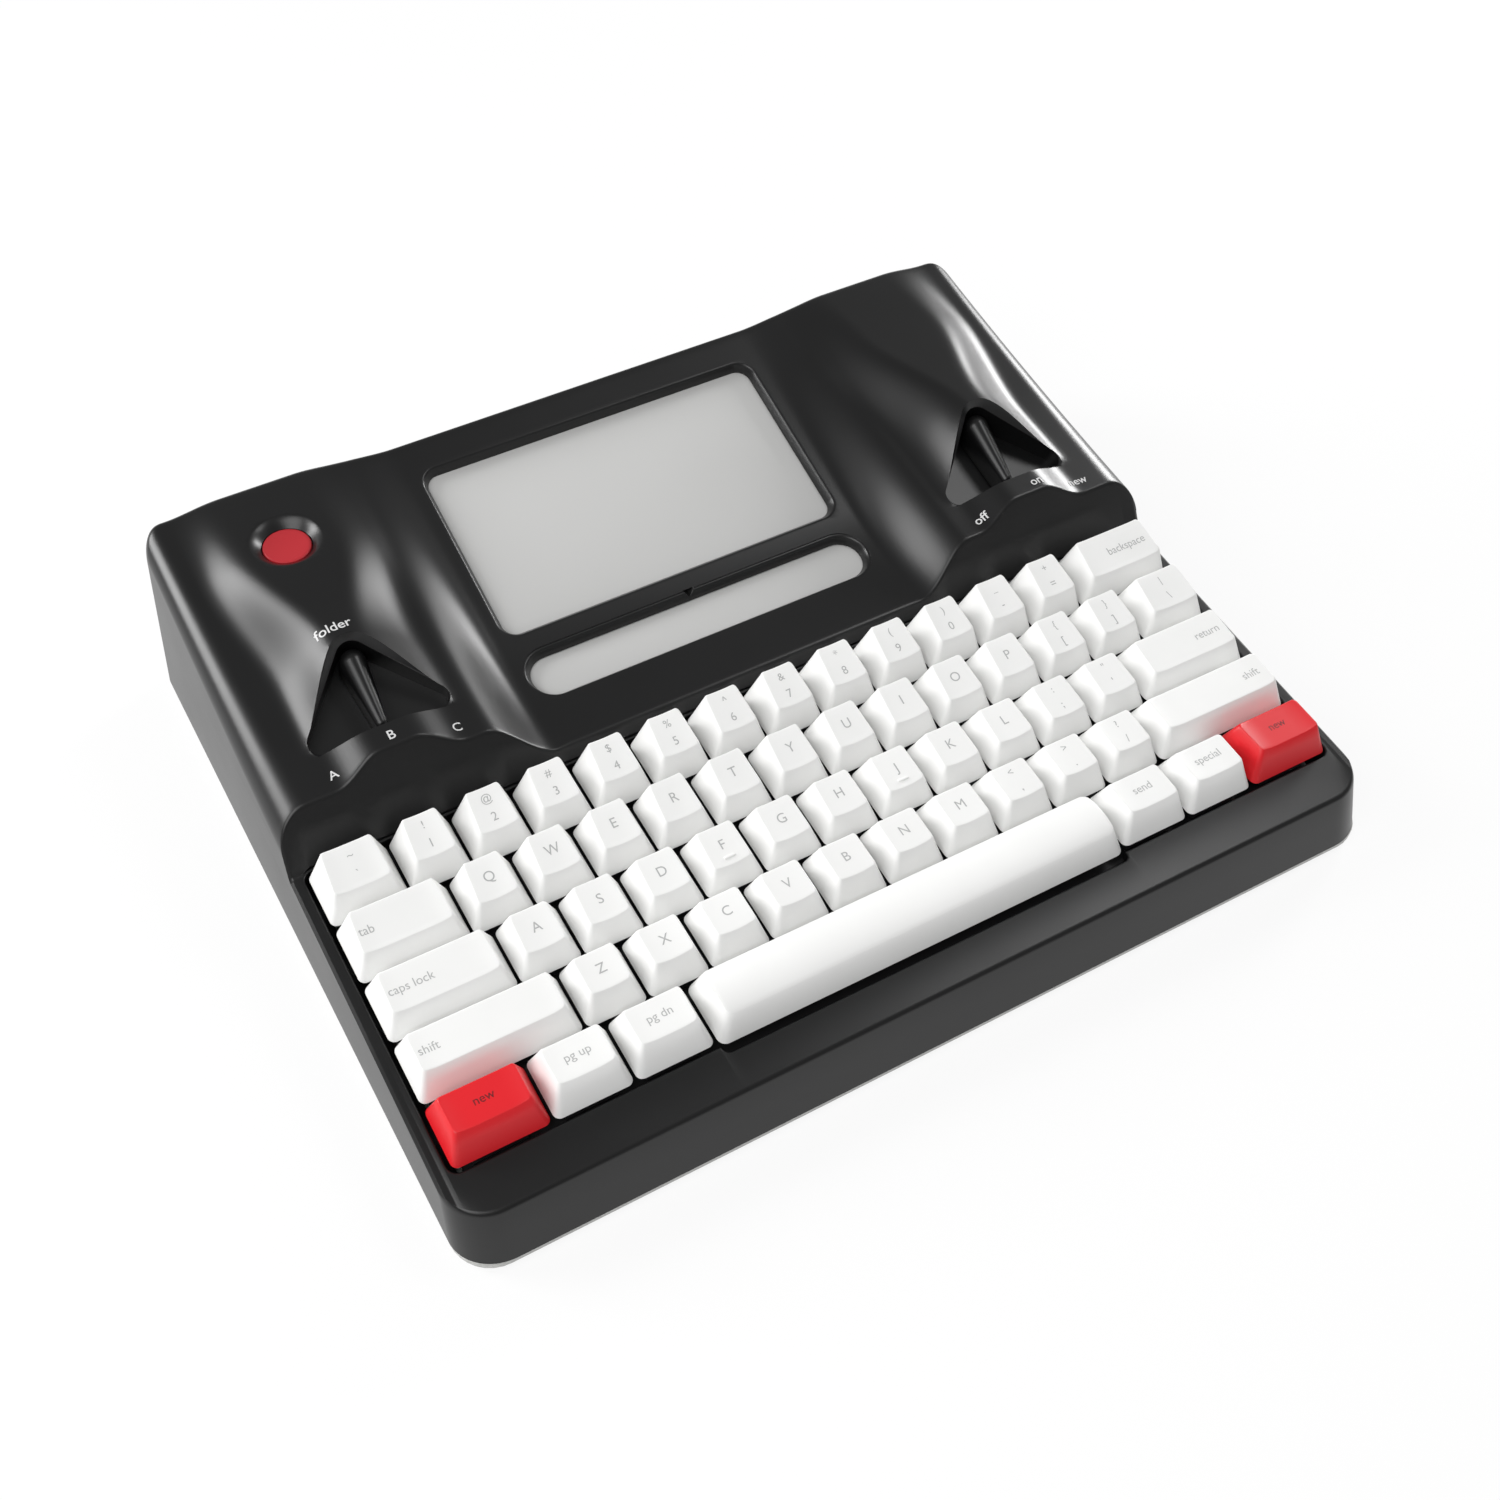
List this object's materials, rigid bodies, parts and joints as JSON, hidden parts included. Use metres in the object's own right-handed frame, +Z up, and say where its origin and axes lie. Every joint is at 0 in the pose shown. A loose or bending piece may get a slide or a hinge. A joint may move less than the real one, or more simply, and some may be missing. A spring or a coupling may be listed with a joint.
{
  "type": "electronic word processor",
  "caption": "Portable electronic word processor with a full mechanical keyboard, two reflective displays in a sloping deck, two selector levers, a power button and a fold-down carry handle.",
  "frame": {"origin": "on the table under the middle of the footprint", "axes": "+X to the user's right along the keyboard, +Y to the back, +Z up"},
  "size_m": [0.2986, 0.2338, 0.065],
  "materials": {
    "black_housing": "satin black moulding with a fine grain",
    "black_lever": "satin black",
    "grey_base": "light grey, fine grain",
    "foot_rubber": "dull black rubber",
    "display_glass": "matt front over a light grey reflective display",
    "display_panel": "reflective display panel",
    "sheet_steel": "plain sheet",
    "screw_steel": "bright steel",
    "switch_plastic": "black moulding",
    "circuit_board": "green solder mask",
    "ribbon_film": "amber film",
    "battery_wrap": "shrink wrap",
    "red_key": "red, fine grain",
    "red_button": "red, smooth",
    "handle_plastic": "satin black moulding",
    "white_key": "white, fine grain"
  },
  "bodies": {
    "housing": {"upper_shell": "black_housing", "base_tray": "grey_base", "key_plate": "sheet_steel", "key_switches": "switch_plastic", "key_board": "circuit_board", "plate_screws": "screw_steel", "main_lens": "display_glass", "main_display": "display_panel", "status_lens": "display_glass", "status_display": "display_panel", "display_bracket": "sheet_steel", "left_selector": "switch_plastic", "right_selector": "switch_plastic", "power_switch": "switch_plastic", "power_board": "circuit_board", "main_board": "circuit_board", "key_ribbon": "ribbon_film", "display_ribbon": "ribbon_film", "battery": "battery_wrap", "battery_strap": "sheet_steel", "charge_port": "screw_steel", "handle_pins": "screw_steel", "feet": "foot_rubber", "case_screws": "screw_steel", "board_screws": "screw_steel"},
    "key_tilde": {"key_tilde": "white_key"},
    "key_backspace": {"key_backspace": "white_key"},
    "key_tab": {"key_tab": "white_key"},
    "key_backslash": {"key_backslash": "white_key"},
    "key_caps": {"key_caps": "white_key"},
    "key_return": {"key_return": "white_key"},
    "key_shift_left": {"key_shift_left": "white_key"},
    "key_shift_right": {"key_shift_right": "white_key"},
    "key_red_left": {"key_red_left": "red_key"},
    "key_page_up": {"key_page_up": "white_key"},
    "key_page_down": {"key_page_down": "white_key"},
    "key_space": {"key_space": "white_key"},
    "key_send": {"key_send": "white_key"},
    "key_special": {"key_special": "white_key"},
    "key_red_right": {"key_red_right": "red_key"},
    "keys_number_row": {"keys_number_row": "white_key"},
    "keys_upper_row": {"keys_upper_row": "white_key"},
    "keys_home_row": {"keys_home_row": "white_key"},
    "keys_lower_row": {"keys_lower_row": "white_key"},
    "left_lever": {"left_lever": "black_lever"},
    "right_lever": {"right_lever": "black_lever"},
    "power_button": {"power_button": "red_button"},
    "carry_handle": {"carry_handle": "handle_plastic"}
  },
  "joints": [
    {"name": "tilde_press", "type": "slide", "parent": "housing", "child": "key_tilde", "axis": [0, 0.0932, -0.9956], "range_m": [0, 0.004], "stiffness_N_per_m": 80, "springref_m": -0.004},
    {"name": "backspace_press", "type": "slide", "parent": "housing", "child": "key_backspace", "axis": [0, 0.0932, -0.9956], "range_m": [0, 0.004], "stiffness_N_per_m": 80, "springref_m": -0.004},
    {"name": "tab_press", "type": "slide", "parent": "housing", "child": "key_tab", "axis": [0, 0.0932, -0.9956], "range_m": [0, 0.004], "stiffness_N_per_m": 80, "springref_m": -0.004},
    {"name": "backslash_press", "type": "slide", "parent": "housing", "child": "key_backslash", "axis": [0, 0.0932, -0.9956], "range_m": [0, 0.004], "stiffness_N_per_m": 80, "springref_m": -0.004},
    {"name": "caps_press", "type": "slide", "parent": "housing", "child": "key_caps", "axis": [0, 0.0932, -0.9956], "range_m": [0, 0.004], "stiffness_N_per_m": 80, "springref_m": -0.004},
    {"name": "return_press", "type": "slide", "parent": "housing", "child": "key_return", "axis": [0, 0.0932, -0.9956], "range_m": [0, 0.004], "stiffness_N_per_m": 80, "springref_m": -0.004},
    {"name": "shift_left_press", "type": "slide", "parent": "housing", "child": "key_shift_left", "axis": [0, 0.0932, -0.9956], "range_m": [0, 0.004], "stiffness_N_per_m": 80, "springref_m": -0.004},
    {"name": "shift_right_press", "type": "slide", "parent": "housing", "child": "key_shift_right", "axis": [0, 0.0932, -0.9956], "range_m": [0, 0.004], "stiffness_N_per_m": 80, "springref_m": -0.004},
    {"name": "red_left_press", "type": "slide", "parent": "housing", "child": "key_red_left", "axis": [0, 0.0932, -0.9956], "range_m": [0, 0.004], "stiffness_N_per_m": 80, "springref_m": -0.004},
    {"name": "page_up_press", "type": "slide", "parent": "housing", "child": "key_page_up", "axis": [0, 0.0932, -0.9956], "range_m": [0, 0.004], "stiffness_N_per_m": 80, "springref_m": -0.004},
    {"name": "page_down_press", "type": "slide", "parent": "housing", "child": "key_page_down", "axis": [0, 0.0932, -0.9956], "range_m": [0, 0.004], "stiffness_N_per_m": 80, "springref_m": -0.004},
    {"name": "space_press", "type": "slide", "parent": "housing", "child": "key_space", "axis": [0, 0.0932, -0.9956], "range_m": [0, 0.004], "stiffness_N_per_m": 90, "springref_m": -0.004},
    {"name": "send_press", "type": "slide", "parent": "housing", "child": "key_send", "axis": [0, 0.0932, -0.9956], "range_m": [0, 0.004], "stiffness_N_per_m": 80, "springref_m": -0.004},
    {"name": "special_press", "type": "slide", "parent": "housing", "child": "key_special", "axis": [0, 0.0932, -0.9956], "range_m": [0, 0.004], "stiffness_N_per_m": 80, "springref_m": -0.004},
    {"name": "red_right_press", "type": "slide", "parent": "housing", "child": "key_red_right", "axis": [0, 0.0932, -0.9956], "range_m": [0, 0.004], "stiffness_N_per_m": 80, "springref_m": -0.004},
    {"name": "number_row_press", "type": "slide", "parent": "housing", "child": "keys_number_row", "axis": [0, 0.0932, -0.9956], "range_m": [0, 0.004], "stiffness_N_per_m": 960, "springref_m": -0.004},
    {"name": "upper_row_press", "type": "slide", "parent": "housing", "child": "keys_upper_row", "axis": [0, 0.0932, -0.9956], "range_m": [0, 0.004], "stiffness_N_per_m": 960, "springref_m": -0.004},
    {"name": "home_row_press", "type": "slide", "parent": "housing", "child": "keys_home_row", "axis": [0, 0.0932, -0.9956], "range_m": [0, 0.004], "stiffness_N_per_m": 880, "springref_m": -0.004},
    {"name": "lower_row_press", "type": "slide", "parent": "housing", "child": "keys_lower_row", "axis": [0, 0.0932, -0.9956], "range_m": [0, 0.004], "stiffness_N_per_m": 800, "springref_m": -0.004},
    {"name": "left_select", "type": "hinge", "parent": "housing", "child": "left_lever", "pos_m": [-0.107, 0.0414, 0.0566], "axis": [0, -0.3584, 0.9336], "range_deg": [-30, 30]},
    {"name": "right_select", "type": "hinge", "parent": "housing", "child": "right_lever", "pos_m": [0.107, 0.0414, 0.0566], "axis": [0, -0.3584, 0.9336], "range_deg": [-30, 30]},
    {"name": "power_press", "type": "slide", "parent": "housing", "child": "power_button", "axis": [0, 0, -1], "range_m": [0, 0.0012], "stiffness_N_per_m": 700, "springref_m": -0.001},
    {"name": "handle_swing", "type": "hinge", "parent": "housing", "child": "carry_handle", "pos_m": [0, 0.11169, 0.039], "axis": [1, 0, 0], "range_deg": [0, 90]}
  ]
}
